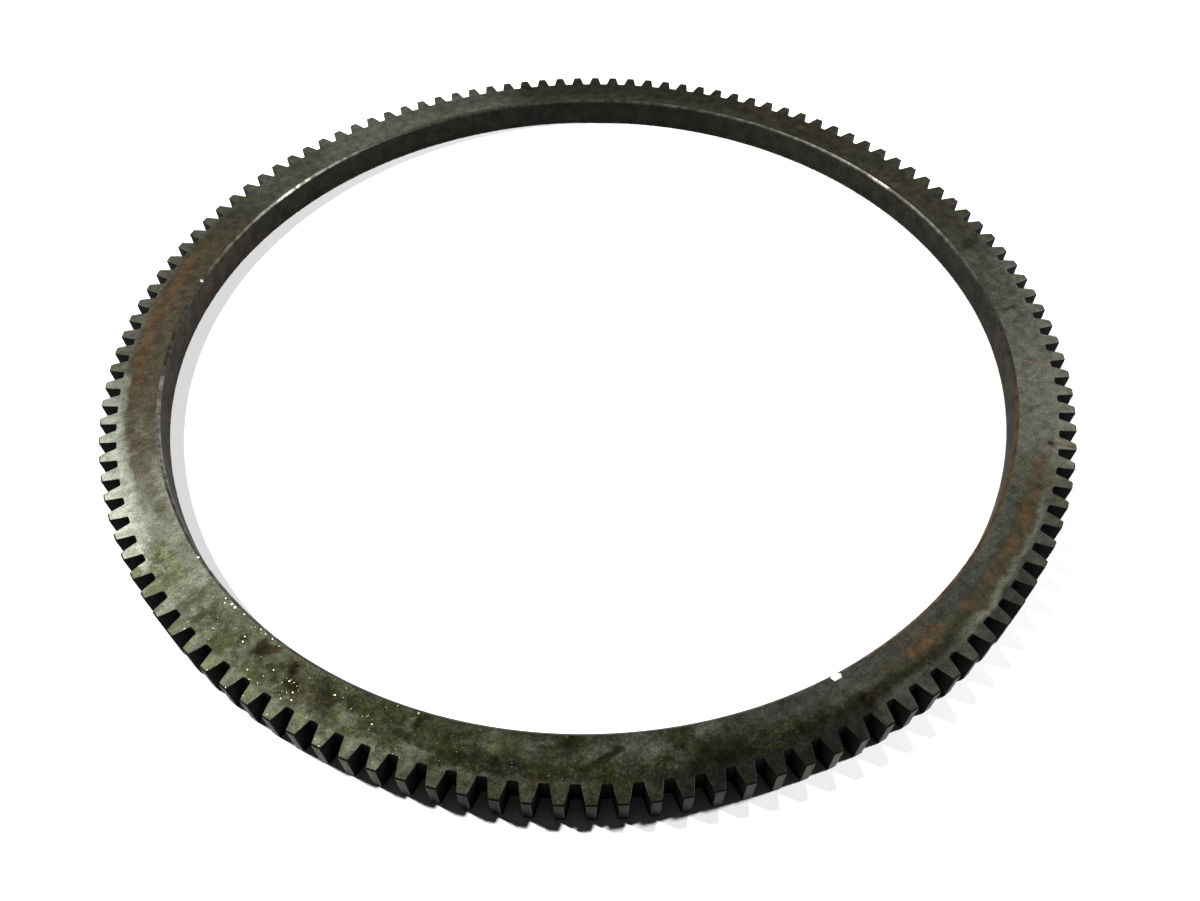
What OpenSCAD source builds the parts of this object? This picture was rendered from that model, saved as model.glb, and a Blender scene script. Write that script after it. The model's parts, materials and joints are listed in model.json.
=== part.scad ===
// Flywheel starter ring gear: a flat steel ring with straight involute teeth on its outside.
// Millimetres. The axis is Z, the ring lies on its lower face at Z = 0, and a tooth is centred on +X.

/* [Teeth] */
// Number of teeth around the ring
teeth = 127; // [80:1:200]
// Module of the teeth: pitch diameter divided by the number of teeth
tooth_module = 2.54; // [1.5:0.01:4]
// Pressure angle of the involute flanks, in degrees
pressure_angle = 14.5; // [14.5:0.5:25]
// Room left at the foot of a tooth space for the crest of a mating tooth
bottom_clearance = 0.4; // [0.2:0.05:1]
// Radius of the fillets at the foot of a tooth space
root_fillet = 0.6; // [0.3:0.05:0.8]
// Thinning of each tooth on the pitch circle, which gives the mesh its backlash
tooth_thinning = 0.1; // [0:0.02:0.4]
// Chamfer turned on both ends of the tooth tips
tip_chamfer = 0.4; // [0.1:0.05:1]

/* [Ring] */
// Thickness of the ring along its axis
ring_thickness = 11.1; // [5:0.1:30]
// Depth of solid metal between the bore and the foot of the teeth
rim_depth = 13.35; // [5:0.05:40]
// Chamfer turned on both ends of the bore
bore_chamfer = 0.8; // [0.2:0.1:2]

/* [Hidden] */

// Circles of the gear
pitch_r = teeth * tooth_module / 2;
tip_r = pitch_r + tooth_module;
root_r = pitch_r - tooth_module - bottom_clearance;
base_r = pitch_r * cos(pressure_angle);
bore_r = root_r - rim_depth;

// How far a tooth space is cut past the faces and tips of the blank
overcut = 1;
// Straight steps that follow each involute flank and each root fillet
flank_steps = 3;
fillet_steps = 2;
$fn = 360;

// Degrees that an arc of a given length spans on a circle
function arc_angle(length, r) = length / r * 180 / PI;

// Length of the tangent from the base circle to a point at radius r, which is the unwound string
function string_length(r) = sqrt(max(r * r - base_r * base_r, 0));

// Pressure angle at radius r, and the involute angle that goes with it
function angle_at(r) = atan2(string_length(r), base_r);
function involute(angle) = tan(angle) * 180 / PI - angle;

function polar(r, angle) = [r * cos(angle), r * sin(angle)];
function flipped(points) = [for (i = [len(points) - 1:-1:0]) [points[i][0], -points[i][1]]];

// Half the angle of a tooth space where its flanks meet the base circle
space_half = 90 / teeth - involute(pressure_angle) + arc_angle(tooth_thinning / 2, pitch_r);

// The fillet's centre lies on the flank's parallel involute, one fillet radius above the root circle
fillet_r = root_r + root_fillet;
fillet_pressure = angle_at(fillet_r);
fillet_angle = space_half + involute(fillet_pressure) - arc_angle(root_fillet, base_r);
fillet_centre = polar(fillet_r, fillet_angle);

// Radii at the two ends of a flank: where the fillet joins it, and past the tip
flank_foot_r = norm([base_r, string_length(fillet_r) - root_fillet]);
flank_top_r = tip_r + overcut;

function flank_radius(step) = flank_top_r + (flank_foot_r - flank_top_r) * step / flank_steps;
function flank_point(r) = polar(r, space_half + involute(angle_at(r)));

// One side of a tooth space, from its mouth down the flank and round the fillet to the root circle
flank = [for (i = [0:flank_steps]) flank_point(flank_radius(i))];
fillet_start = fillet_angle + fillet_pressure + 90;
fillet_sweep = 90 - fillet_pressure;
fillet = [
  for (i = [1:fillet_steps])
    fillet_centre + polar(root_fillet, fillet_start + fillet_sweep * i / fillet_steps)
];
space_side = concat(flank, fillet);

// The turned ring before its teeth are cut: a rectangular section with chamfered bore and tip corners
module blank() {
  rotate_extrude()
    polygon([
      [bore_r + bore_chamfer, 0],
      [tip_r - tip_chamfer, 0],
      [tip_r, tip_chamfer],
      [tip_r, ring_thickness - tip_chamfer],
      [tip_r - tip_chamfer, ring_thickness],
      [bore_r + bore_chamfer, ring_thickness],
      [bore_r, ring_thickness - bore_chamfer],
      [bore_r, bore_chamfer],
    ]);
}

// One tooth space, centred on +X
module tooth_space() {
  translate([0, 0, -overcut])
    linear_extrude(ring_thickness + 2 * overcut)
      polygon(concat(space_side, flipped(space_side)));
}

module ring_gear() {
  color("dimgray")
    difference() {
      blank();
      for (i = [0:teeth - 1])
        rotate((i + 0.5) * 360 / teeth)
          tooth_space();
    }
}

ring_gear();
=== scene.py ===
"""Models a worn starter ring gear of oily, stained steel with cut involute teeth, on a pale floor."""

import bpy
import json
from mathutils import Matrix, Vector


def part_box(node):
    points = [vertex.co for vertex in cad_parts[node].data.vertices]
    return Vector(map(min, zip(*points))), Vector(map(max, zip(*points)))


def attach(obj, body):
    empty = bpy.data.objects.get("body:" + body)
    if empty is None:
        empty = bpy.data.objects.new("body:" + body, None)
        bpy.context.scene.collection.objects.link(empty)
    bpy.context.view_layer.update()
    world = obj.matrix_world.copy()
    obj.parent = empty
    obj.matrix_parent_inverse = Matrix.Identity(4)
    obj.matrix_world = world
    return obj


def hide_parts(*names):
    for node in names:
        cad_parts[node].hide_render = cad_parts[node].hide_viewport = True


bl_info = {
    "name": "Starter Ring Gear",
    "version": (1, 0, 0),
    "blender": (4, 5, 0),
    "location": "View3D > Sidebar > Ring Gear",
    "description": "Builds a worn steel starter ring gear and a plain stage to show it on",
    "category": "Object",
}

import json
import math
from dataclasses import dataclass

import bmesh
import bpy
from bpy.props import FloatProperty, FloatVectorProperty, IntProperty, PointerProperty
from mathutils import Matrix, Vector

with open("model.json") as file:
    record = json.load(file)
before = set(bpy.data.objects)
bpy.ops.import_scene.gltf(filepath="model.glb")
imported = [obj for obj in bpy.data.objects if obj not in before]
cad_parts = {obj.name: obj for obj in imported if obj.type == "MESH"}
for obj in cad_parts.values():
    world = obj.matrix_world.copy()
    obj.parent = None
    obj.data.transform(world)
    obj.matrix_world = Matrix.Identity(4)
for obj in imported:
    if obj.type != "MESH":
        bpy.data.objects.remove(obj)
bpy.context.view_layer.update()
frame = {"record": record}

# The ring's own box and bore give the sizes that the looks are built on, in metres
MM = 0.001
RING_LOW, RING_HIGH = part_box("ring_gear")
BORE_MOUNT = next(mount for mount in frame["record"]["mounts"] if mount["kind"] == "bore")

# Points that are closer together than this are one point
WELD = 0.002 * MM
# An edge that turns more than this is a corner, and is rounded off
CORNER_ANGLE = math.radians(32)
# How far a face's normal rises at least where it lies flat, and at most where it is an upright wall
FLAT_RISE = 0.9
UPRIGHT_RISE = 0.2
# How far a tooth tip's normal points outwards at least
TIP_OUTWARD = 0.9

# Material slots of the ring, in order
FACE, FLANK, TIP, BORE, WORN, BARE, UNDER = range(7)


class RingSizes(bpy.types.PropertyGroup):
    """Sizes of the ring and of its teeth."""

    teeth: IntProperty(
        name="Teeth", description="Number of teeth around the ring", default=127, min=80, max=200
    )
    tip_radius: FloatProperty(
        name="Tip radius", description="From the axis to the tooth tips",
        default=RING_HIGH.x, unit="LENGTH", precision=5,
    )
    bore_radius: FloatProperty(
        name="Bore radius", description="From the axis to the wall of the bore",
        default=BORE_MOUNT["dims"]["r_mm"] * MM, unit="LENGTH", precision=5,
    )
    thickness: FloatProperty(
        name="Thickness", description="Height of the ring along its axis",
        default=RING_HIGH.z - RING_LOW.z, unit="LENGTH", precision=5,
    )
    pressure_angle: FloatProperty(
        name="Pressure angle", description="Pressure angle of the involute flanks",
        default=math.radians(14.5), subtype="ANGLE",
    )
    bottom_clearance: FloatProperty(
        name="Bottom clearance", description="Room at the foot of a tooth space for a mating tooth",
        default=0.4 * MM, unit="LENGTH", precision=5,
    )
    root_fillet: FloatProperty(
        name="Root fillet", description="Radius of the fillets at the foot of a tooth space",
        default=0.6 * MM, unit="LENGTH", precision=5,
    )
    tooth_thinning: FloatProperty(
        name="Tooth thinning", description="Thinning of each tooth on the pitch circle",
        default=0.1 * MM, unit="LENGTH", precision=5,
    )
    tip_chamfer: FloatProperty(
        name="Tip chamfer", description="Chamfer on both ends of the tooth tips",
        default=0.4 * MM, unit="LENGTH", precision=5,
    )
    bore_chamfer: FloatProperty(
        name="Bore chamfer", description="Chamfer on both ends of the bore",
        default=0.8 * MM, unit="LENGTH", precision=5,
    )
    edge_round: FloatProperty(
        name="Edge rounding", description="How far wear has rounded the sharp edges",
        default=0.1 * MM, unit="LENGTH", precision=5,
    )


def finish_colour(name, description, default):
    """A colour of the ring's finish that can be changed."""
    return FloatVectorProperty(
        name=name, description=description, default=default, size=3, subtype="COLOR", min=0, max=1
    )


class RingFinish(bpy.types.PropertyGroup):
    """Colours of the steel, of what lies on it and of what has eaten into it; some stand for painted
    glints, highlights and shade.
    """

    # Pale steel: partly steel wiped clean, partly painted highlight where it lies on the upper face
    pale_steel_and_highlight: finish_colour("Pale steel", "Steel that was wiped clean", (0.141, 0.147, 0.120))
    wiped_steel: finish_colour("Wiped steel", "Steel with a thin film of oil", (0.0608, 0.0632, 0.0465))
    dull_steel: finish_colour("Dull steel", "Steel under old oil", (0.0318, 0.0312, 0.0212))
    # Near black; on the tooth flanks and roots it is partly painted shade of the tooth spaces
    dark_steel: finish_colour("Dark steel", "Bluish black of the tooth spaces", (0.0042, 0.0046, 0.0047))
    bore_steel: finish_colour("Bore steel", "Dark turned steel of the bore", (0.0105, 0.0100, 0.0084))
    grey_film: finish_colour("Grey film", "Dry grey film", (0.0240, 0.0243, 0.0212))
    charcoal: finish_colour("Charcoal film", "Dry dark film", (0.0165, 0.0175, 0.0090))
    olive_oil: finish_colour("Olive oil", "Greenish oil that lies in blotches", (0.0124, 0.0137, 0.0040))
    olive_wash: finish_colour("Olive wash", "Thin light olive film", (0.050, 0.053, 0.027))
    black_oil: finish_colour("Black oil", "Thick dark oil and dirt", (0.0036, 0.0036, 0.0013))
    brown_stain: finish_colour("Brown stain", "Thin brown rust film", (0.0375, 0.0295, 0.0190))
    rust: finish_colour("Rust", "Orange-brown rust", (0.0660, 0.0320, 0.0105))
    # Bare metal: real in the nicks; on the bore's chamfer partly painted highlight
    bare_metal: finish_colour("Bare metal", "Fresh metal in nicks and on rubbed edges", (0.62, 0.61, 0.56))
    # Glint colour: painted highlight on wet oil
    painted_glint: finish_colour("Glints", "Glints in wet oil", (0.46, 0.45, 0.29))


# Roughness and metallic share of what lies on the steel
FILM_GLOSS = {
    "dull_steel": (0.55, 0.85),
    "dark_steel": (0.50, 0.85),
    "pale_steel_and_highlight": (0.50, 0.88),
    "wiped_steel": (0.52, 0.86),
    "charcoal": (0.58, 0.80),
    "grey_film": (0.56, 0.82),
    "olive_oil": (0.50, 0.80),
    "olive_wash": (0.52, 0.84),
    "black_oil": (0.48, 0.75),
    "brown_stain": (0.60, 0.75),
    "rust": (0.75, 0.40),
}


class StageSettings(bpy.types.PropertyGroup):
    """Floor and light."""

    floor_colour: finish_colour("Floor", "Colour of the floor", (0.84, 0.84, 0.84))
    room_light: FloatProperty(
        name="Room light", description="Strength of the even light from all round", default=0.03, min=0
    )
    left_lamp: FloatProperty(
        name="Left lamp", description="Power of the lamp behind on the left",
        default=38.0, min=0, unit="POWER",
    )
    right_lamp: FloatProperty(
        name="Right lamp", description="Power of the lamp behind on the right",
        default=30.0, min=0, unit="POWER",
    )


def polar(radius, angle, height=0.0):
    """Point at a radius and an angle from the ring's axis."""
    return Vector((radius * math.cos(angle), radius * math.sin(angle), height))


def involute(angle):
    """Roll angle of an involute at a pressure angle."""
    return math.tan(angle) - angle


class ToothForm:
    """Circles and angles of one involute tooth, centred on +X."""

    tip_steps = 2
    flank_steps = 4
    fillet_steps = 4
    root_steps = 2

    def __init__(self, sizes):
        self.teeth = sizes.teeth
        self.half_pitch = math.pi / sizes.teeth
        self.tip_r = sizes.tip_radius
        self.bore_r = sizes.bore_radius
        self.fillet = sizes.root_fillet
        module = self.tip_r / (sizes.teeth / 2 + 1)
        self.pitch_r = self.tip_r - module
        self.root_r = self.pitch_r - module - sizes.bottom_clearance
        self.base_r = self.pitch_r * math.cos(sizes.pressure_angle)
        self.crest_r = self.tip_r - sizes.tip_chamfer
        thinning = sizes.tooth_thinning / 2 / self.pitch_r
        self.space_half = self.half_pitch / 2 - involute(sizes.pressure_angle) + thinning

    def pressure_at(self, radius):
        """Pressure angle of the flank at a radius."""
        return math.acos(min(self.base_r / radius, 1.0))

    def flank_angle(self, radius):
        """Angle from the tooth's middle to its flank at a radius."""
        return self.half_pitch - self.space_half - involute(self.pressure_at(radius))

    def half_outline(self):
        """Points from the middle of the tip, down the flank and the fillet, to the middle of the space."""
        tip_angle = self.flank_angle(self.tip_r)
        points = [polar(self.tip_r, tip_angle * i / self.tip_steps) for i in range(self.tip_steps)]

        fillet_r = self.root_r + self.fillet
        string = math.sqrt(fillet_r ** 2 - self.base_r ** 2) - self.fillet
        foot_r = math.hypot(self.base_r, string)
        flank = [self.tip_r, self.crest_r]
        flank += [
            self.crest_r + (foot_r - self.crest_r) * i / self.flank_steps
            for i in range(1, self.flank_steps + 1)
        ]
        points += [polar(r, self.flank_angle(r)) for r in flank]

        fillet_pressure = self.pressure_at(fillet_r)
        fillet_angle = self.flank_angle(fillet_r) + self.fillet / self.base_r
        centre = polar(fillet_r, fillet_angle)
        start = fillet_angle - fillet_pressure - math.pi / 2
        sweep = math.pi / 2 - fillet_pressure
        points += [
            centre + polar(self.fillet, start - sweep * i / self.fillet_steps)
            for i in range(1, self.fillet_steps + 1)
        ]

        foot_angle = math.atan2(points[-1].y, points[-1].x)
        points += [
            polar(self.root_r, foot_angle + (self.half_pitch - foot_angle) * i / self.root_steps)
            for i in range(1, self.root_steps + 1)
        ]
        return points

    def crested(self, point):
        """The point of the outline on a tooth whose tip is turned down to the crest radius."""
        radius = math.hypot(point.x, point.y)
        if radius < self.tip_r - WELD:
            return point.copy()
        angle = math.atan2(point.y, point.x)
        middle = round(angle / (2 * self.half_pitch)) * 2 * self.half_pitch
        widening = self.flank_angle(self.crest_r) / self.flank_angle(self.tip_r)
        return polar(self.crest_r, middle + (angle - middle) * widening, point.z)


def draw_outline(bm, form):
    """Draws the closed toothed outline of the ring: half a tooth, mirrored and copied round the axis."""
    verts = [bm.verts.new(point) for point in form.half_outline()]
    edges = [bm.edges.new(pair) for pair in zip(verts, verts[1:])]
    bmesh.ops.mirror(bm, geom=verts + edges, axis="Y", merge_dist=WELD)
    copies = form.teeth - 1
    bmesh.ops.spin(
        bm, geom=bm.verts[:] + bm.edges[:], axis=(0, 0, 1), cent=(0, 0, 0),
        angle=2 * form.half_pitch * copies, steps=copies, use_duplicate=True,
    )
    bmesh.ops.remove_doubles(bm, verts=bm.verts, dist=WELD)
    return bm.edges[:]


def pull(bm, edges, place):
    """Pulls a closed row of edges into a band of faces, and puts each new vertex where place says."""
    made = bmesh.ops.extrude_edge_only(bm, edges=edges)["geom"]
    for vert in made:
        if isinstance(vert, bmesh.types.BMVert):
            vert.co = place(vert.co)
    return [edge for edge in made if isinstance(edge, bmesh.types.BMEdge)]


def sweep_section(bm, edges, form, sizes):
    """Sweeps the outline round the upper half of the section: tooth walls, top face and bore wall."""
    half = sizes.thickness / 2

    def raised(height):
        return lambda point: Vector((point.x, point.y, height))

    def crest(point):
        return form.crested(Vector((point.x, point.y, half)))

    def circle(radius, height):
        return lambda point: polar(radius, math.atan2(point.y, point.x), height)

    below_teeth = form.root_r - sizes.root_fillet
    section = (
        raised(half - sizes.tip_chamfer),
        crest,
        circle(below_teeth, half),
        circle(form.bore_r + sizes.bore_chamfer, half),
        circle(form.bore_r, half - sizes.bore_chamfer),
        circle(form.bore_r, 0.0),
    )
    for place in section:
        edges = pull(bm, edges, place)


def sort_faces(bm, form):
    """Gives each face the material slot of its part of the ring."""
    for face in bm.faces:
        middle = face.calc_center_median()
        radius = math.hypot(middle.x, middle.y)
        outward = (face.normal.x * middle.x + face.normal.y * middle.y) / radius
        rise = abs(face.normal.z)
        if rise > FLAT_RISE:
            face.material_index = FACE if face.normal.z > 0 else UNDER
        elif radius < form.root_r - form.fillet:
            face.material_index = BORE if rise < UPRIGHT_RISE else WORN
        elif outward > TIP_OUTWARD and radius > form.crest_r:
            face.material_index = TIP
        else:
            face.material_index = FLANK


def round_corners(bm, edge_round):
    """Rounds every corner a little, and marks the rounding as worn."""
    corners = [edge for edge in bm.edges if edge.calc_face_angle(0.0) > CORNER_ANGLE]
    made = bmesh.ops.bevel(
        bm, geom=corners, offset=edge_round, offset_type="OFFSET", segments=2, profile=0.5,
        affect="EDGES", clamp_overlap=True, material=-1,
    )
    for face in made["faces"]:
        face.material_index = WORN


def shade(bm):
    """Shades curved walls smooth and keeps flat faces flat."""
    for face in bm.faces:
        face.smooth = face.material_index not in (FACE, UNDER)
    for edge in bm.edges:
        edge.smooth = edge.calc_face_angle(0.0) < CORNER_ANGLE


def link_mesh(name, bm):
    """Makes an object of a finished bmesh, at the origin."""
    mesh = bpy.data.meshes.new(name)
    bm.to_mesh(mesh)
    bm.free()
    piece = bpy.data.objects.new(name, mesh)
    bpy.context.scene.collection.objects.link(piece)
    return piece


def build_ring(sizes):
    """The toothed ring, as one closed shell."""
    form = ToothForm(sizes)
    bm = bmesh.new()
    edges = draw_outline(bm, form)
    sweep_section(bm, edges, form, sizes)
    bmesh.ops.mirror(bm, geom=bm.verts[:] + bm.edges[:] + bm.faces[:], axis="Z", merge_dist=WELD)
    bmesh.ops.remove_doubles(bm, verts=bm.verts, dist=WELD)
    bmesh.ops.recalc_face_normals(bm, faces=bm.faces)
    bmesh.ops.translate(bm, verts=bm.verts, vec=(0, 0, sizes.thickness / 2))
    sort_faces(bm, form)
    round_corners(bm, sizes.edge_round)
    shade(bm)
    return link_mesh("ring_gear_steel", bm)


# Nicks: angle in degrees, radius and height of the middle, half length along the edge, half width across it
# and depth in millimetres, turn in degrees
NICKS = (
    (296.0, 145.6, 11.1, 2.0, 1.7, 0.6, 20),
    (217.6, 145.7, 10.9, 0.5, 0.4, 0.35, 40),
    (167.6, 145.5, 10.8, 0.6, 0.5, 0.35, 20),
    (278.9, 158.6, 11.1, 0.35, 0.3, 0.25, 70),
    (279.4, 163.3, 10.9, 0.40, 0.3, 0.30, 10),
)
# Sides of a nick, and the radii of its cutter at the foot and the mouth, as shares of the nick's half size
NICK_SIDES = 5
NICK_FOOT = 0.5
NICK_MOUTH = 1.5


def cut_nicks(ring):
    """Chips small nicks out of the ring's edges with tapered cutters."""
    bm = bmesh.new()
    for angle, radius, height, along, across, depth, turn in NICKS:
        place = Matrix.Translation(polar(radius, math.radians(angle), height) * MM)
        facing = Matrix.Rotation(math.radians(angle), 4, "Z")
        size = Matrix.Diagonal((across * MM, along * MM, depth * MM, 1.0))
        bmesh.ops.create_cone(
            bm, cap_ends=True, segments=NICK_SIDES, radius1=NICK_FOOT, radius2=NICK_MOUTH, depth=2.0,
            matrix=place @ facing @ size @ Matrix.Rotation(math.radians(turn), 4, "Z"),
        )
    for face in bm.faces:
        face.material_index = BARE
    cutter = link_mesh("nick_cutter", bm)
    for material in ring.data.materials:
        cutter.data.materials.append(material)
    cut = ring.modifiers.new("nicks", "BOOLEAN")
    cut.operation = "DIFFERENCE"
    cut.solver = "EXACT"
    cut.object = cutter
    whole = ring.data
    chipped = ring.evaluated_get(bpy.context.evaluated_depsgraph_get())
    ring.data = bpy.data.meshes.new_from_object(chipped)
    ring.modifiers.clear()
    if not ring.data.polygons:
        raise RuntimeError("Cutting the nicks left no ring")
    bpy.data.meshes.remove(whole)
    bpy.data.meshes.remove(cutter.data)


# Radius of the circle that stays as long as it is when the ring is unrolled, in millimetres
BAND_RADIUS = 152.0
# Factors that keep a place's plan and drop its height
ON_PLAN = (1.0, 1.0, 0.0)
# Specular level of all the ring's surfaces
SPECULAR_LEVEL = 0.03
# Range that most of a noise keeps to, and the factor that stretches half of that range to about one
NOISE_RANGE = 0.42
NOISE_STRETCH = 4
# Height between the layers of noise of two films, in millimetres
LAYER_STEP = 90.0
# Share of a fleck's radius inside which it is full, and the greys that most of the flecks' cells have
FLECK_CORE = 0.6
CELL_GREYS = (0.25, 0.65)


class Painter:
    """Adds the nodes of one material. Inputs are numbers, colours or other nodes' sockets."""

    def __init__(self, name, colour, roughness, metallic):
        self.material = bpy.data.materials.new(name)
        self.material.use_nodes = True
        self.tree = self.material.node_tree
        self.shader = self.tree.nodes["Principled BSDF"]
        self.colour = colour
        self.roughness = roughness
        self.metallic = metallic
        position = self.add("ShaderNodeTexCoord").outputs["Object"]
        self.mm = self.vector("SCALE", position, scale=1 / MM)
        self.height = self.add("ShaderNodeSeparateXYZ", {0: self.mm}).outputs["Z"]
        self.measure_from(self.mm)
        self.shader.inputs["Specular IOR Level"].default_value = SPECULAR_LEVEL

    def add(self, kind, inputs=None, **settings):
        """A new node with its settings and inputs."""
        node = self.tree.nodes.new(kind)
        for key, value in settings.items():
            setattr(node, key, value)
        for key, value in (inputs or {}).items():
            self.feed(node.inputs[key], value)
        return node

    def feed(self, socket, value):
        """Links a socket, or sets its value."""
        if isinstance(value, bpy.types.NodeSocket):
            self.tree.links.new(value, socket)
        elif socket.type == "RGBA":
            socket.default_value = (*value, 1.0)
        else:
            socket.default_value = value

    def math(self, operation, first, second=0.0):
        """Sum, product or other operation on two numbers."""
        return self.add("ShaderNodeMath", {0: first, 1: second}, operation=operation).outputs[0]

    def vector(self, operation, first, second=None, scale=None):
        """Operation on one vector, on two, or on a vector and a factor."""
        inputs = {0: first}
        if second is not None:
            inputs[1] = second
        if scale is not None:
            inputs["Scale"] = scale
        return self.add("ShaderNodeVectorMath", inputs, operation=operation).outputs["Vector"]

    def ramp(self, value, low, high, to_low=0.0, to_high=1.0):
        """Eases a value that runs from low to high into the range to_low to to_high."""
        inputs = {0: value, 1: low, 2: high, 3: to_low, 4: to_high}
        return self.add("ShaderNodeMapRange", inputs, interpolation_type="SMOOTHSTEP").outputs[0]

    def noise(self, where, scale, detail=4.0, roughness=0.55, output="Fac"):
        """Noise with about scale blotches to a millimetre."""
        inputs = {"Vector": where, "Scale": scale, "Detail": detail, "Roughness": roughness}
        return self.add("ShaderNodeTexNoise", inputs).outputs[output]

    def blotches(self, where, share, soft):
        """Ragged blotches that cover about a share of the surface."""
        edge = 0.5 + (0.5 - share) * NOISE_RANGE
        return self.ramp(self.noise(where, 1.0, 6.0, 0.66), edge - soft, edge + soft)

    def mix(self, factor, first, second):
        """Mix of two colours."""
        node = self.add("ShaderNodeMix", {0: factor, 6: first, 7: second}, data_type="RGBA")
        return node.outputs[2]

    def blend(self, factor, first, second):
        """Mix of two numbers."""
        node = self.add("ShaderNodeMix", {0: factor, 2: first, 3: second}, data_type="FLOAT")
        return node.outputs[0]

    def both(self, *masks):
        """Where all of the masks are."""
        whole = masks[0]
        for mask in masks[1:]:
            whole = self.math("MULTIPLY", whole, mask)
        return whole

    def either(self, *masks):
        """Where any of the masks is."""
        whole = masks[0]
        for mask in masks[1:]:
            whole = self.math("MAXIMUM", whole, mask)
        return whole

    def sector(self, start, end, soft=4.0):
        """Mask of the part of the ring between two angles in degrees, counted from +X towards +Y."""
        middle = math.radians((start + end) / 2)
        half = (end - start) / 2
        inputs = {0: self.heading, 1: polar(1.0, middle)}
        facing = self.add("ShaderNodeVectorMath", inputs, operation="DOT_PRODUCT").outputs["Value"]
        outer = math.cos(math.radians(min(half + soft, 180)))
        inner = math.cos(math.radians(max(half - soft, 0)))
        return self.ramp(facing, outer, inner)

    def within(self, inner, outer, soft=1.0):
        """Mask of the part of the ring between two radii in millimetres."""
        rising = self.ramp(self.radius, inner - soft, inner + soft)
        falling = self.ramp(self.radius, outer - soft, outer + soft, 1.0, 0.0)
        return self.both(rising, falling)

    def lay_out(self, place):
        """Sets the place that spots are measured from, with the ring unrolled into a straight band."""
        parts = self.add("ShaderNodeSeparateXYZ", {0: place}).outputs
        along = self.math("MULTIPLY", self.math("ARCTAN2", parts[1], parts[0]), BAND_RADIUS)
        radius = self.add("ShaderNodeVectorMath", {0: place}, operation="LENGTH").outputs["Value"]
        self.bands = {0: self.add("ShaderNodeCombineXYZ", {0: along, 1: radius}).outputs[0]}

    def band(self, turn):
        """The unrolled band, turned by an angle in degrees."""
        if turn not in self.bands:
            inputs = {"Vector": self.bands[0], "Rotation": (0.0, 0.0, math.radians(turn))}
            self.bands[turn] = self.add("ShaderNodeMapping", inputs).outputs[0]
        return self.bands[turn]

    def spot(self, angle, radius, along, across, turn=0, soft=0.35):
        """Mask of an oval spot: half length along the ring and half width across it in millimetres."""
        heading = math.remainder(math.radians(angle), 2 * math.pi)
        middle = Matrix.Rotation(math.radians(turn), 2) @ Vector((heading * BAND_RADIUS, radius))
        inputs = {
            0: self.band(turn),
            1: (1 / along, 1 / across, 0.0),
            2: (-middle.x / along, -middle.y / across, 0.0),
        }
        local = self.add("ShaderNodeVectorMath", inputs, operation="MULTIPLY_ADD").outputs["Vector"]
        reach = self.add("ShaderNodeVectorMath", {0: local}, operation="LENGTH").outputs["Value"]
        return self.ramp(reach, 1.0 - soft, 1.0 + soft, 1.0, 0.0)

    def measure_from(self, place):
        """Sets the place on the ring's plan from which radii and angles are measured."""
        self.flat = self.vector("MULTIPLY", place, ON_PLAN)
        self.radius = self.add("ShaderNodeVectorMath", {0: self.flat}, operation="LENGTH").outputs["Value"]
        self.heading = self.vector("NORMALIZE", self.flat)

    def ragged(self, scale, amount):
        """Place on the ring's plan, shaken by noise, so that the edges of spots wander."""
        clouds = self.noise(self.mm, scale, output="Color")
        parts = self.add("ShaderNodeSeparateColor", {0: clouds}).outputs
        noise = self.add("ShaderNodeCombineXYZ", {0: parts[0], 1: parts[1]}).outputs[0]
        shake = self.vector("SUBTRACT", noise, (0.5, 0.5, 0.5))
        shaken = self.vector("ADD", self.mm, self.vector("SCALE", shake, scale=NOISE_STRETCH * amount))
        return self.vector("MULTIPLY", shaken, ON_PLAN)

    def shake(self, scale, amount):
        """Lets the edges of all later sectors and radii wander."""
        self.measure_from(self.ragged(scale, amount))

    def drawn_out(self, angle, length, width, layer=0):
        """Place in which noise is drawn out along a direction of the plan. Each layer has its own."""
        inputs = {
            "Vector": self.mm,
            "Location": (0.0, 0.0, LAYER_STEP * layer),
            "Rotation": (0.0, 0.0, math.radians(angle)),
            "Scale": (length, width, width),
        }
        return self.add("ShaderNodeMapping", inputs, vector_type="TEXTURE").outputs[0]

    def flecks(self, scale, size, share):
        """Small round flecks, on a share of the cells that they are strewn in."""
        cells = self.add("ShaderNodeTexVoronoi", {"Vector": self.mm, "Scale": scale})
        dot = self.ramp(cells.outputs["Distance"], size * FLECK_CORE, size, 1.0, 0.0)
        darkest, palest = CELL_GREYS
        edge = palest - share * (palest - darkest)
        chosen = self.ramp(cells.outputs["Color"], edge, edge + 0.02)
        return self.both(dot, chosen)

    def cover(self, mask, colour, roughness=None, metallic=None, thickness=1.0):
        """Lays another finish over the one so far where the mask is. A thickness under one is thin."""
        if thickness < 1:
            mask = self.math("MULTIPLY", mask, thickness)
        self.colour = self.mix(mask, self.colour, colour)
        if roughness is not None:
            self.roughness = self.blend(mask, self.roughness, roughness)
        if metallic is not None:
            self.metallic = self.blend(mask, self.metallic, metallic)

    def shine(self, amount):
        """Lightens or darkens the colour so far by a factor."""
        self.colour = self.vector("SCALE", self.colour, scale=amount)

    def bump(self, height, depth):
        """Relief of a depth in millimetres."""
        node = self.add("ShaderNodeBump", {"Height": height, "Strength": 1.0, "Distance": depth * MM})
        self.feed(self.shader.inputs["Normal"], node.outputs[0])

    def finished(self):
        """Links the finish to the shader and returns the material."""
        self.feed(self.shader.inputs["Base Color"], self.colour)
        self.feed(self.shader.inputs["Roughness"], self.roughness)
        self.feed(self.shader.inputs["Metallic"], self.metallic)
        return self.material


@dataclass
class Film:
    """What lies on the upper face in blotches: angles and softness in degrees, lengths in millimetres."""

    colour: str
    thickness: float
    start: float
    end: float
    soft: float = 4.0
    inner: float = 140.0
    outer: float = 170.0
    share: float = 1.0
    size: float = 5.0
    stretch: float = 1.0
    turn: float = 0.0
    blur: float = 0.07
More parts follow.
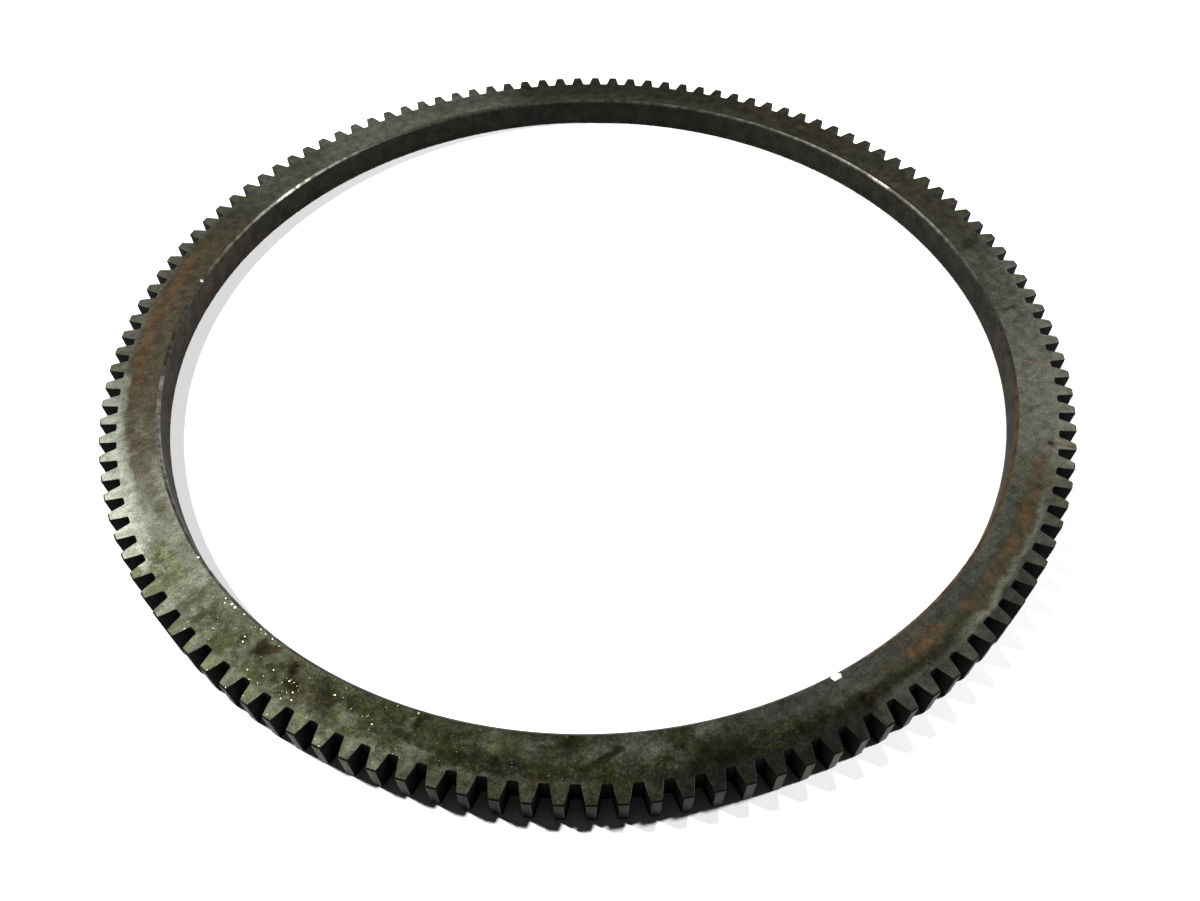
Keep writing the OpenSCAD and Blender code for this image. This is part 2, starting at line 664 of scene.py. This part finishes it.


# Laid on in this order, each with its own layer of noise. Angles are counted round the ring from the right
# (0 degrees) over the back and the left to the front
# The pale steel films at the right, the back left and the left are partly painted highlight
FACE_FILMS = (
    # right and back
    Film("wiped_steel", 0.95, 335, 374),
    Film("pale_steel_and_highlight", 0.24, 340, 374, 9),
    Film("pale_steel_and_highlight", 0.12, 336, 383, 5, 157.6, 170),
    Film("olive_oil", 0.40, 2, 17, inner=144, outer=157, share=0.55, size=4),
    Film("wiped_steel", 0.18, 18, 46, 6),
    Film("wiped_steel", 0.32, 14, 66, 6, 158.5, 170),
    Film("brown_stain", 0.45, 18, 66, share=0.45, size=8),
    Film("black_oil", 0.14, 18, 60, 6, 149, 158, share=0.55, size=7),
    Film("black_oil", 0.12, 64, 101, 6, 148, 170),
    Film("wiped_steel", 0.26, 55, 102, 5, 140, 150),
    # back left
    Film("wiped_steel", 0.95, 102, 149, 3.5),
    Film("pale_steel_and_highlight", 0.40, 105, 132, 6),
    Film("pale_steel_and_highlight", 0.14, 99, 137, 4, 140, 151),
    Film("dull_steel", 0.50, 101, 116, 3, 152, 170, share=0.5, size=4),
    Film("dull_steel", 0.45, 136, 150, 4, 147, 158, share=0.6, size=9, stretch=3, turn=50),
    # left
    Film("brown_stain", 0.85, 157, 193, 5, 140, 156.2, share=0.85, size=6),
    Film("rust", 0.36, 162, 187, 4, 151.8, 156.5, share=0.7, size=6, stretch=3, turn=85),
    Film("wiped_steel", 0.60, 147, 190, 3, 157.6, 170),
    Film("pale_steel_and_highlight", 0.45, 185.7, 216, 0.7, 155.5, 170),
    Film("wiped_steel", 0.50, 192.6, 214, 0.6, 140, 156),
    Film("brown_stain", 0.80, 193, 200, 1.5, 146, 155, share=0.65, size=4),
    Film("brown_stain", 0.95, 200.7, 204, 1, 148.5, 154.5, share=0.75, size=3),
    Film("pale_steel_and_highlight", 0.50, 197, 213, 3, 154.5, 170),
    Film("pale_steel_and_highlight", 0.90, 190, 214, 2.5, 157.3, 170),
    # front left
    Film("pale_steel_and_highlight", 0.26, 202, 224, 3),
    Film("olive_wash", 0.85, 213, 222, 1.5, 150, 170, share=0.58, size=3, blur=0.05),
    Film("olive_oil", 0.65, 213, 223, 1.5, 151, 158, share=0.45, size=2, blur=0.05),
    Film("pale_steel_and_highlight", 0.22, 220, 233, 3),
    Film("olive_oil", 0.45, 217, 230, 2.5, share=0.48, size=6, stretch=6, turn=42),
    Film("wiped_steel", 0.70, 224, 262, 4),
    Film("olive_oil", 0.42, 226, 262, 4),
    Film("olive_oil", 0.80, 223, 262, 3, share=0.52, size=4.5, blur=0.12),
    Film("olive_oil", 0.60, 223, 262, 3, share=0.38, size=1.2),
    Film("black_oil", 0.68, 233, 264, 3, 146.5, 155.5, share=0.50, size=5, blur=0.1),
    Film("wiped_steel", 0.40, 226, 256, 4, 158.4, 170, share=0.8, size=4),
    Film("olive_wash", 0.50, 224, 262, 4, 158.4, 170, share=0.5, size=3, blur=0.05),
    # front
    Film("charcoal", 0.80, 252, 334, 7),
    Film("olive_oil", 0.75, 246, 292, 6, share=0.48, size=4),
    Film("wiped_steel", 0.34, 256, 284, 4, 140, 156, share=0.5, size=4, stretch=3),
    Film("black_oil", 0.60, 255, 296, 4, share=0.42, size=4),
    Film("black_oil", 0.70, 253, 267, 3, 153.8, 158.5, share=0.6, size=6),
    Film("black_oil", 0.12, 267, 283, 3, 153.8, 170, share=0.5, size=6),
    Film("black_oil", 0.66, 279, 296, 4, 154, 170, share=0.8, size=6, blur=0.12),
    Film("black_oil", 0.60, 296, 309, 3, 153.6, 156.8, share=0.75, size=3),
    Film("olive_oil", 0.60, 254, 288, 4, 154, 170, share=0.34, size=1.5),
    Film("wiped_steel", 0.30, 244, 268, 4, 157.4, 170, share=0.8, size=3),
    Film("charcoal", 0.70, 258, 276, 4, 159, 170),
    Film("wiped_steel", 0.20, 268, 352, 6, 140, 149.6),
    Film("wiped_steel", 0.10, 276, 300, 5, 140, 152.5, share=0.65, size=5),
    Film("black_oil", 0.40, 240, 294, 5, share=0.36, size=1, blur=0.05),
    Film("wiped_steel", 0.20, 236, 292, 5, share=0.32, size=0.9, blur=0.05),
    Film("wiped_steel", 0.16, 294, 322, 6, 140, 153, share=0.6, size=6),
    # front right
    Film("grey_film", 0.65, 284, 328, 6, 140, 151),
    Film("grey_film", 0.65, 299, 330, 4, 157.2, 170),
    Film("grey_film", 0.30, 277, 299, 4, 157.2, 170),
    Film("dark_steel", 0.62, 276, 297, 4, 157.2, 170),
    Film("dark_steel", 0.22, 298, 314, 3, 157.2, 170),
    Film("wiped_steel", 0.16, 298, 318, 3, 156.8, 170, share=0.9),
    Film("wiped_steel", 0.92, 311, 332, 3, 155.6, 157.7),
    Film("dark_steel", 0.40, 312, 327, 4, 157.6, 170),
    Film("wiped_steel", 0.30, 322, 346, 6, 140, 150.5, share=0.8, size=6),
    Film("wiped_steel", 0.22, 322, 346, 4, 156, 170),
    Film("brown_stain", 0.65, 314, 338, 4, 151, 156, share=0.75, size=6),
    Film("black_oil", 0.14, 318, 344, 5, 147, 158, share=0.65, size=6, blur=0.14),
    Film("rust", 0.24, 320, 337, 3, 151.8, 155.2, share=0.5, size=3.5),
    # along the bore at the front left
    Film("wiped_steel", 0.22, 225, 236, 3, 140, 149),
)

# Single marks on the upper face: angle in degrees, radius, half length along the ring and half width across
# in millimetres, how far it is turned in degrees, its film and how thick it is
FACE_SPOTS = (
    # brown patches at the left
    (205.4, 150.2, 3.0, 2.4, 0, "brown_stain", 0.55),
    (208.6, 148.8, 4.0, 1.9, -10, "brown_stain", 0.60),
    # olive strokes across the ring at the left front
    (217.8, 154.6, 1.6, 4.2, 20, "olive_wash", 0.70),
    (218.0, 155.5, 0.8, 2.6, 20, "olive_oil", 0.40),
    (222.2, 151.2, 0.9, 3.3, 16, "olive_oil", 0.55),
    (222.4, 156.4, 2.4, 1.8, 0, "olive_oil", 0.60),
    (224.4, 152.2, 1.1, 4.8, 2, "olive_oil", 0.50),
    # arrow-shaped stain and dark patches at the front left
    (233.1, 149.3, 4.8, 1.3, 45, "black_oil", 0.92),
    (232.1, 149.0, 1.0, 2.1, 5, "black_oil", 0.85),
    (232.7, 148.6, 1.0, 1.2, 0, "black_oil", 0.70),
    (233.7, 148.0, 2.6, 0.7, 45, "rust", 0.24),
    (232.1, 148.6, 0.6, 1.4, 5, "rust", 0.20),
    (230.1, 150.9, 1.6, 1.4, 0, "black_oil", 0.60),
    (239.6, 149.8, 8.5, 3.2, 0, "black_oil", 0.35),
    (237.0, 149.6, 1.3, 2.5, 25, "black_oil", 0.95),
    (237.9, 153.2, 2.6, 1.8, 0, "black_oil", 0.95),
    (237.8, 148.9, 0.9, 1.4, 0, "brown_stain", 0.50),
    (237.1, 146.5, 1.6, 0.8, 0, "rust", 0.22),
    (239.6, 154.1, 2.0, 1.4, 0, "rust", 0.08),
    (241.7, 152.0, 3.2, 2.2, 0, "black_oil", 0.55),
    (241.0, 152.6, 2.0, 1.2, 0, "rust", 0.08),
    (245.8, 150.2, 1.0, 2.2, 0, "olive_oil", 0.60),
    (247.4, 152.8, 2.6, 0.9, 10, "olive_oil", 0.60),
    (248.6, 149.6, 1.0, 2.2, -15, "olive_oil", 0.60),
    (245.1, 153.6, 2.6, 1.8, 0, "wiped_steel", 0.40),
    (248.6, 148.6, 5.0, 3.0, -8, "black_oil", 0.30),
    (250.6, 152.6, 3.2, 1.1, -5, "black_oil", 0.75),
    (251.7, 148.8, 0.6, 2.6, 0, "black_oil", 0.85),
    (252.2, 155.9, 4.2, 1.3, 0, "wiped_steel", 0.55),
    (254.5, 149.8, 4.6, 2.4, 0, "black_oil", 0.45),
    (258.0, 146.4, 3.0, 1.0, 0, "olive_oil", 0.70),
    (260.2, 151.0, 3.0, 1.4, 0, "olive_wash", 0.45),
    (262.2, 148.1, 4.0, 1.6, 0, "wiped_steel", 0.30),
    (264.1, 158.0, 1.6, 0.7, 0, "rust", 0.40),
    # olive and black patches, streak at a root and spot behind a tooth at the front
    (261.5, 149.5, 4.5, 2.6, 0, "olive_oil", 0.6),
    (264.0, 154.6, 3.0, 1.6, 0, "olive_oil", 0.6),
    (267.4, 147.6, 3.6, 2.0, 0, "olive_oil", 0.7),
    (278.0, 147.6, 3.4, 2.6, 0, "olive_oil", 0.7),
    (274.5, 149.4, 5.0, 2.8, 0, "wiped_steel", 0.30),
    (270.6, 151.0, 4.0, 2.0, 0, "wiped_steel", 0.26),
    (263.6, 150.8, 4.0, 1.8, 0, "wiped_steel", 0.24),
    (267.2, 147.2, 4.2, 1.7, 0, "black_oil", 0.55),
    (258.6, 154.3, 14.0, 1.1, 0, "black_oil", 0.60),
    (281.8, 154.0, 9.0, 3.4, 0, "black_oil", 0.65),
    (284.5, 150.0, 4.0, 3.0, 0, "black_oil", 0.45),
    (290.4, 154.6, 2.2, 1.9, 0, "black_oil", 0.65),
    (270.9, 151.5, 5.6, 1.1, 30, "black_oil", 0.92),
    (270.2, 153.2, 2.6, 0.7, 30, "olive_oil", 0.70),
    (297.2, 155.4, 2.0, 2.3, 0, "black_oil", 0.9),
    (297.4, 155.0, 0.8, 0.8, 0, "rust", 0.15),
    # rust patches at the front right
    (304.6, 151.6, 1.8, 1.2, 0, "rust", 0.52),
    (306.5, 152.0, 2.2, 1.3, 0, "rust", 0.40),
    (306.4, 151.2, 5.6, 2.8, 0, "rust", 0.16),
    (308.7, 151.0, 2.2, 1.7, 0, "rust", 0.42),
    (307.0, 149.0, 1.6, 0.9, 0, "rust", 0.24),
    (313.2, 152.2, 2.0, 1.5, 0, "rust", 0.38),
    (301.1, 150.8, 1.5, 1.2, 0, "rust", 0.30),
    (317.5, 152.6, 2.4, 1.6, 0, "rust", 0.22),
    (323.9, 152.9, 2.2, 1.4, 0, "rust", 0.30),
    (328.5, 153.2, 3.0, 1.3, 0, "rust", 0.26),
    # rust runs across the ring at the right
    (353.2, 155.1, 0.7, 4.4, 4, "rust", 0.50),
    (352.6, 156.2, 1.3, 0.8, 0, "rust", 0.45),
    (340.0, 160.0, 0.8, 4.6, 0, "rust", 0.55),
    (339.8, 155.9, 1.2, 1.0, 0, "black_oil", 0.75),
    # olive smears at the right and rust flecks at the back
    (3.1, 151.5, 1.0, 3.6, 15, "olive_oil", 0.6),
    (16.5, 152.0, 2.0, 4.0, 20, "olive_oil", 0.7),
    (20.7, 156.2, 1.4, 1.2, 0, "rust", 0.50),
    (28.5, 151.0, 1.6, 1.4, 0, "rust", 0.35),
    (32.5, 149.2, 1.6, 1.8, 0, "rust", 0.35),
    (43.5, 151.0, 1.8, 2.2, 0, "rust", 0.35),
    (52.5, 153.5, 2.6, 1.2, 0, "rust", 0.35),
    (57.0, 152.0, 3.0, 1.6, 0, "rust", 0.25),
)

# Patches of wet oil with painted glints: angle in degrees, radius, half length and half width in
# millimetres
OIL_GLINTS = (
    (230.8, 146.2, 3.0, 0.6),
    (234.5, 146.2, 4.0, 0.7),
    (237.7, 154.0, 3.0, 2.6),
    (242.4, 150.0, 2.0, 1.2),
)

# Single painted glints, drawn as bright drops of colour: angle in degrees, radius, half length and half
# width in millimetres
PAINTED_GLINT_DROPS = (
    (224.6, 146.7, 0.22, 0.18),
    (225.0, 147.7, 0.19, 0.18),
    (225.7, 146.5, 0.33, 0.30),
    (226.3, 146.5, 0.36, 0.33),
    (227.8, 146.1, 0.33, 0.12),
    (230.0, 150.3, 0.18, 0.18),
    (230.3, 151.6, 0.21, 0.19),
    (230.7, 146.1, 0.28, 0.13),
    (231.5, 146.2, 0.22, 0.15),
    (232.6, 146.2, 0.22, 0.15),
    (233.1, 156.4, 0.17, 0.15),
    (235.3, 152.5, 0.14, 0.15),
    (237.5, 152.6, 0.18, 0.18),
    (238.0, 157.5, 0.14, 0.15),
    (238.6, 154.6, 0.19, 0.18),
    (239.0, 156.4, 0.17, 0.15),
    (242.5, 149.9, 0.21, 0.18),
    (247.5, 152.9, 0.21, 0.18),
    (249.0, 146.1, 0.15, 0.13),
    (251.4, 146.2, 0.23, 0.22),
)


# How gradually marks and clusters of painted glints fade out, as a share of their half size
MARK_SOFTNESS = 0.5
GLINT_SOFTNESS = 0.6
# Roughness and metallic share of a painted glint
GLINT_GLOSS = (0.3, 0.9)
# Stretch with single strewn painted glints, and stretch with the strongest mottling: angles and softness in
# degrees
GLINT_STRETCH = (211, 276, 5)
MOTTLED_STRETCH = (240, 296, 8)
# How far the mottling swings the brightness, elsewhere and on that stretch
MOTTLE_SWING = (0.32, 0.46)

# Roughness and metallic share of the ground faces
GROUND_GLOSS = (0.55, 0.85)
# Grinding marks: direction in degrees, length and width in millimetres
GRINDING_MARKS = (35, 14.0, 0.55)
# Depth of the relief of ground and of drawn steel, and of a nick's broken surface, in millimetres
STEEL_RELIEF = 0.02
NICK_RELIEF = 0.08


def grinding(paint):
    """Grain of ground steel, and the marks that grinding left on it."""
    grain = paint.noise(paint.mm, scale=1.7, detail=3.0, roughness=0.7)
    marks = paint.noise(paint.drawn_out(*GRINDING_MARKS), scale=1.0, detail=3.0, roughness=0.6)
    return grain, marks


def lay_films(paint, finish):
    """Lays the films of oil, dirt and rust on the upper face, and the pale films that are partly painted
    highlight.
    """
    for number, film in enumerate(FACE_FILMS):
        masks = [paint.sector(film.start, film.end, film.soft), paint.within(film.inner, film.outer)]
        if film.share < 1:
            place = paint.drawn_out(film.turn, film.size * film.stretch, film.size, number)
            masks.append(paint.blotches(place, film.share, film.blur))
        colour = getattr(finish, film.colour)
        paint.cover(paint.both(*masks), colour, *FILM_GLOSS[film.colour], thickness=film.thickness)


def lay_marks(paint, finish):
    """Puts the single marks on the upper face."""
    for angle, radius, along, across, turn, film, thickness in FACE_SPOTS:
        spot = paint.spot(angle, radius, along, across, turn, MARK_SOFTNESS)
        paint.cover(spot, getattr(finish, film), *FILM_GLOSS[film], thickness=thickness)


def face_steel(finish):
    """The upper face: ground steel under wiped oil, dirt and rust, with painted glints on the oil and pale
    films that are partly painted highlight.
    """
    paint = Painter("face_steel", finish.dull_steel, *GROUND_GLOSS)
    mottle = paint.noise(paint.mm, scale=0.33, detail=5.0, roughness=0.65)
    grain, marks = grinding(paint)
    paint.shake(scale=0.16, amount=1.2)
    lay_films(paint, finish)
    paint.lay_out(paint.ragged(scale=0.8, amount=0.7))
    lay_marks(paint, finish)
    swing = paint.blend(paint.sector(*MOTTLED_STRETCH), *MOTTLE_SWING)
    mottling = paint.math("MULTIPLY", paint.ramp(mottle, 0.28, 0.72, -1.0, 1.0), swing)
    paint.shine(paint.math("ADD", mottling, 1.0))
    paint.shine(paint.ramp(marks, 0.3, 0.7, 0.88, 1.12))
    paint.shine(paint.ramp(grain, 0.25, 0.75, 0.62, 1.38))
    # Painted glints: bright colour in clusters on the wet oil, strewn singly and as single drops
    wet = paint.either(*[paint.spot(*glint, soft=GLINT_SOFTNESS) for glint in OIL_GLINTS])
    glints = paint.both(wet, paint.flecks(scale=1.7, size=0.18, share=0.20))
    paint.cover(glints, finish.painted_glint, *GLINT_GLOSS)
    strewn = paint.both(paint.sector(*GLINT_STRETCH), paint.flecks(scale=0.9, size=0.10, share=0.02))
    paint.cover(strewn, finish.painted_glint, *GLINT_GLOSS)
    paint.lay_out(paint.vector("MULTIPLY", paint.mm, ON_PLAN))
    drops = [paint.spot(*drop) for drop in PAINTED_GLINT_DROPS]
    paint.cover(paint.either(*drops), finish.painted_glint, *GLINT_GLOSS)
    paint.bump(paint.math("ADD", grain, marks), STEEL_RELIEF)
    return paint.finished()


def under_steel(finish):
    """The face that the ring lies on: plain ground steel."""
    paint = Painter("under_steel", finish.dull_steel, *GROUND_GLOSS)
    mottle = paint.noise(paint.mm, scale=0.2, detail=5.0, roughness=0.6)
    grain, marks = grinding(paint)
    paint.shine(paint.ramp(mottle, 0.28, 0.72, 0.75, 1.25))
    paint.shine(paint.ramp(marks, 0.3, 0.7, 0.88, 1.12))
    paint.shine(paint.ramp(grain, 0.25, 0.75, 0.80, 1.20))
    paint.bump(paint.math("ADD", grain, marks), STEEL_RELIEF)
    return paint.finished()


def flank_steel_and_shade(finish):
    """Tooth flanks and roots: near black, partly painted shade of the tooth spaces, and a little uneven."""
    paint = Painter("flank_steel_and_shade", finish.dark_steel, roughness=0.6, metallic=0.0)
    cloud = paint.noise(paint.mm, scale=0.5)
    paint.shine(paint.ramp(cloud, 0.3, 0.7, 0.3, 0.8))
    return paint.finished()


# Stretches of the tooth tips that were wiped, and the one that is darkest: angles and softness in degrees
WIPED_TIPS = ((226, 252, 8), (288, 330, 8))
DARK_TIPS = (256, 276, 6)
# How far streaks are drawn out along the axis, and how far turning marks are squeezed along it
STREAK_SQUEEZE = (1.0, 1.0, 0.06)
TURNING_SQUEEZE = (1.0, 1.0, 6.0)


def tip_steel(finish):
    """Tooth tips: satin steel with streaks along the axis."""
    paint = Painter("tip_steel", finish.charcoal, roughness=0.5, metallic=0.2)
    streak = paint.noise(paint.vector("MULTIPLY", paint.mm, STREAK_SQUEEZE), scale=2.6, detail=3.0)
    wiped = [paint.sector(*stretch) for stretch in WIPED_TIPS]
    paint.cover(paint.either(*wiped), finish.wiped_steel)
    paint.cover(paint.sector(*DARK_TIPS), finish.dark_steel)
    paint.shine(paint.ramp(streak, 0.3, 0.7, 0.45, 1.4))
    paint.bump(streak, STEEL_RELIEF)
    return paint.finished()


# Stretches of the bore with a brown bloom, and the one that is dull: angles and softness in degrees
BORE_BLOOM = ((158, 235, 14), (302, 358, 12))
DULL_BORE = (10, 60, 14)


def bore_steel(finish):
    """Bore wall: dark, turned steel with a brown bloom at the sides."""
    paint = Painter("bore_steel", finish.bore_steel, roughness=0.6, metallic=0.1)
    cloud = paint.noise(paint.mm, scale=0.2)
    turned = paint.noise(paint.vector("MULTIPLY", paint.mm, TURNING_SQUEEZE), scale=0.35)
    bloom = [paint.sector(*stretch) for stretch in BORE_BLOOM]
    paint.cover(paint.either(*bloom), finish.brown_stain, thickness=0.38)
    paint.cover(paint.sector(*DULL_BORE), finish.dull_steel, thickness=0.2)
    paint.shine(paint.ramp(cloud, 0.3, 0.7, 0.7, 1.4))
    paint.shine(paint.ramp(turned, 0.3, 0.7, 0.8, 1.2))
    return paint.finished()


# Stretches of the bore's chamfer laid with bare metal, partly rubbed and partly painted highlight: angles
# and softness in degrees, and how bare they are
RUBBED_AND_HIGHLIT = (
    (12, 52, 8, 0.03),
    (32, 36.5, 1.5, 0.16),
    (40, 45, 2, 0.08),
    (18, 28, 3, 0.05),
    (60, 104, 8, 0.03),
    (132, 141, 3, 0.05),
    (140.5, 148, 1.5, 0.20),
    (148, 152, 2, 0.08),
    (152, 186, 4, 0.02),
    (186, 206, 3, 0.26),
    (206, 234, 4, 0.08),
    (284, 316, 6, 0.03),
)
# Rusty stretch of that chamfer, and oily stretch of the tooth edges: angles and softness in degrees
RUSTY_CHAMFER = (298, 350, 6)
OILY_TEETH = (250, 325, 8)
# Radii of the chamfer and of the teeth, with the chamfer's softness, in millimetres
CHAMFER_RADII = (143, 147.4, 0.3)
TOOTH_RADII = (157, 170)
# Heights between which the ring's lower half gives way to its upper half, in millimetres
UPPER_HALF = (4.0, 6.0)


def worn_steel(finish):
    """Chamfers and rubbed corners, with bare metal on the chamfer that is partly painted highlight."""
    paint = Painter("worn_steel", finish.dull_steel, roughness=0.45, metallic=0.8)
    cloud = paint.noise(paint.mm, scale=0.4)
    chamfer = paint.both(paint.within(*CHAMFER_RADII), paint.ramp(paint.height, *UPPER_HALF))
    # Bare metal on the chamfer's stretches: partly rubbing, partly painted highlight
    rubs_and_highlights = [paint.math("MULTIPLY", paint.sector(*stretch), bare) for *stretch, bare in RUBBED_AND_HIGHLIT]
    broken = paint.ramp(cloud, 0.36, 0.64, 0.40, 1.0)
    paint.cover(paint.both(chamfer, paint.either(*rubs_and_highlights), broken), finish.bare_metal, roughness=0.4)
    oily = paint.both(paint.within(*TOOTH_RADII), paint.sector(*OILY_TEETH))
    paint.cover(oily, finish.black_oil, thickness=0.6)
    rusty = paint.both(chamfer, paint.sector(*RUSTY_CHAMFER))
    paint.cover(rusty, finish.rust, roughness=0.7, metallic=0.4, thickness=0.6)
    paint.shine(paint.ramp(cloud, 0.3, 0.7, 0.6, 1.3))
    return paint.finished()


def bare_steel(finish):
    """Fresh metal in nicks."""
    paint = Painter("bare_steel", finish.bare_metal, roughness=0.6, metallic=0.3)
    crumble = paint.noise(paint.mm, scale=3.0, detail=3.0)
    paint.shine(paint.ramp(crumble, 0.3, 0.7, 0.6, 1.2))
    paint.bump(crumble, NICK_RELIEF)
    return paint.finished()


# Where the camera stood, in metres, and how far it leaned to one side
CAMERA_PLACE = Vector((-0.00081, -0.24068, 0.25036))
CAMERA_AIM = Vector((0.00303, -0.04403, 0.0))
CAMERA_LEAN = math.radians(-0.387)
# Lens and sensor in millimetres, and the nearest that the camera sees in metres
CAMERA_LENS = 28.802
SENSOR_WIDTH = 36.0
CAMERA_NEAR = 0.01

# Half a side of the floor and its gap under the ring, in metres
FLOOR_HALF = 0.8
FLOOR_GAP = 0.05 * MM
# Distance and side of the lamps in metres, and where they stand: azimuth and elevation in degrees
LAMP_DISTANCE = 1.5
LAMP_SIZE = 0.1
LEFT_LAMP_STAND = (162.5, 57.5)
RIGHT_LAMP_STAND = (7.5, 45.5)
WHITE = (1.0, 1.0, 1.0, 1.0)


def set_camera():
    """Camera at the photograph's viewing angle."""
    forward = (CAMERA_AIM - CAMERA_PLACE).normalized()
    level = forward.cross(Vector((0, 0, 1))).normalized()
    upward = level.cross(forward)
    right = level * math.cos(CAMERA_LEAN) + upward * math.sin(CAMERA_LEAN)
    above = upward * math.cos(CAMERA_LEAN) - level * math.sin(CAMERA_LEAN)
    data = bpy.data.cameras.new("camera")
    data.sensor_fit = "HORIZONTAL"
    data.sensor_width = SENSOR_WIDTH
    data.lens = CAMERA_LENS
    data.clip_start = CAMERA_NEAR
    camera = bpy.data.objects.new("camera", data)
    turn = Matrix((right, above, -forward)).transposed()
    camera.matrix_world = Matrix.Translation(CAMERA_PLACE) @ turn.to_4x4()
    bpy.context.scene.collection.objects.link(camera)
    bpy.context.scene.camera = camera


def set_floor(colour):
    """Plain pale floor just under the ring."""
    bm = bmesh.new()
    bmesh.ops.create_grid(bm, x_segments=1, y_segments=1, size=FLOOR_HALF)
    bmesh.ops.translate(bm, verts=bm.verts, vec=(0, 0, RING_LOW.z - FLOOR_GAP))
    floor = link_mesh("floor", bm)
    material = bpy.data.materials.new("floor_paper")
    material.use_nodes = True
    shader = material.node_tree.nodes["Principled BSDF"]
    shader.inputs["Base Color"].default_value = (*colour, 1.0)
    shader.inputs["Roughness"].default_value = 1.0
    shader.inputs["Specular IOR Level"].default_value = 0.0
    floor.data.materials.append(material)


def set_lamp(name, stand, power):
    """Square lamp, aimed at the ring. Azimuths are counted from +X towards +Y."""
    azimuth, elevation = (math.radians(angle) for angle in stand)
    data = bpy.data.lights.new(name, "AREA")
    data.energy = power
    data.size = LAMP_SIZE
    lamp = bpy.data.objects.new(name, data)
    away = polar(math.cos(elevation), azimuth, math.sin(elevation))
    lamp.location = away * LAMP_DISTANCE
    lamp.rotation_euler = away.to_track_quat("Z", "Y").to_euler()
    bpy.context.scene.collection.objects.link(lamp)


def set_world(strength):
    """Even, weak light of the room, in front of white paper that gives no light."""
    world = bpy.data.worlds.new("room")
    world.use_nodes = True
    nodes = world.node_tree.nodes
    links = world.node_tree.links
    room = nodes["Background"]
    paper = nodes.new("ShaderNodeBackground")
    for background, brightness in ((room, strength), (paper, 1.0)):
        background.inputs["Color"].default_value = WHITE
        background.inputs["Strength"].default_value = brightness
    either = nodes.new("ShaderNodeMixShader")
    path = nodes.new("ShaderNodeLightPath")
    links.new(path.outputs["Is Camera Ray"], either.inputs[0])
    links.new(room.outputs[0], either.inputs[1])
    links.new(paper.outputs[0], either.inputs[2])
    links.new(either.outputs[0], nodes["World Output"].inputs["Surface"])
    bpy.context.scene.world = world
    bpy.context.scene.view_settings.view_transform = "Standard"


class RINGGEAR_OT_make_ring(bpy.types.Operator):
    """Build the toothed steel ring with its worn finish"""

    bl_idname = "ring_gear.make_ring"
    bl_label = "Make Ring"

    def execute(self, context):
        sizes = context.scene.ring_sizes
        finish = context.scene.ring_finish
        ring = build_ring(sizes)
        makers = (face_steel, flank_steel_and_shade, tip_steel, bore_steel, worn_steel, bare_steel, under_steel)
        for maker in makers:
            ring.data.materials.append(maker(finish))
        cut_nicks(ring)
        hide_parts("ring_gear")
        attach(ring, "root")
        return {"FINISHED"}


class RINGGEAR_OT_set_stage(bpy.types.Operator):
    """Set up the floor, the lamps and the camera"""

    bl_idname = "ring_gear.set_stage"
    bl_label = "Set Stage"

    def execute(self, context):
        settings = context.scene.ring_stage
        set_floor(settings.floor_colour)
        set_lamp("left_lamp", LEFT_LAMP_STAND, settings.left_lamp)
        set_lamp("right_lamp", RIGHT_LAMP_STAND, settings.right_lamp)
        set_world(settings.room_light)
        set_camera()
        return {"FINISHED"}


class RINGGEAR_PT_panel(bpy.types.Panel):
    """Ring gear tools"""

    bl_idname = "RINGGEAR_PT_panel"
    bl_label = "Ring Gear"
    bl_space_type = "VIEW_3D"
    bl_region_type = "UI"
    bl_category = "Ring Gear"

    def draw(self, context):
        for group in (context.scene.ring_sizes, context.scene.ring_finish, context.scene.ring_stage):
            box = self.layout.box()
            for key in group.bl_rna.properties.keys():
                if key not in ("rna_type", "name"):
                    box.prop(group, key)
        self.layout.operator(RINGGEAR_OT_make_ring.bl_idname)
        self.layout.operator(RINGGEAR_OT_set_stage.bl_idname)


CLASSES = (
    RingSizes, RingFinish, StageSettings, RINGGEAR_OT_make_ring, RINGGEAR_OT_set_stage, RINGGEAR_PT_panel,
)


def register():
    """Registers the classes, and keeps their settings with the scene."""
    for cls in CLASSES:
        bpy.utils.register_class(cls)
    bpy.types.Scene.ring_sizes = PointerProperty(type=RingSizes)
    bpy.types.Scene.ring_finish = PointerProperty(type=RingFinish)
    bpy.types.Scene.ring_stage = PointerProperty(type=StageSettings)


def unregister():
    """Undoes what register did."""
    del bpy.types.Scene.ring_stage
    del bpy.types.Scene.ring_finish
    del bpy.types.Scene.ring_sizes
    for cls in reversed(CLASSES):
        bpy.utils.unregister_class(cls)


def main():
    """Builds the ring and its stage."""
    register()
    bpy.ops.ring_gear.make_ring()
    bpy.ops.ring_gear.set_stage()


if __name__ == "__main__":
    main()
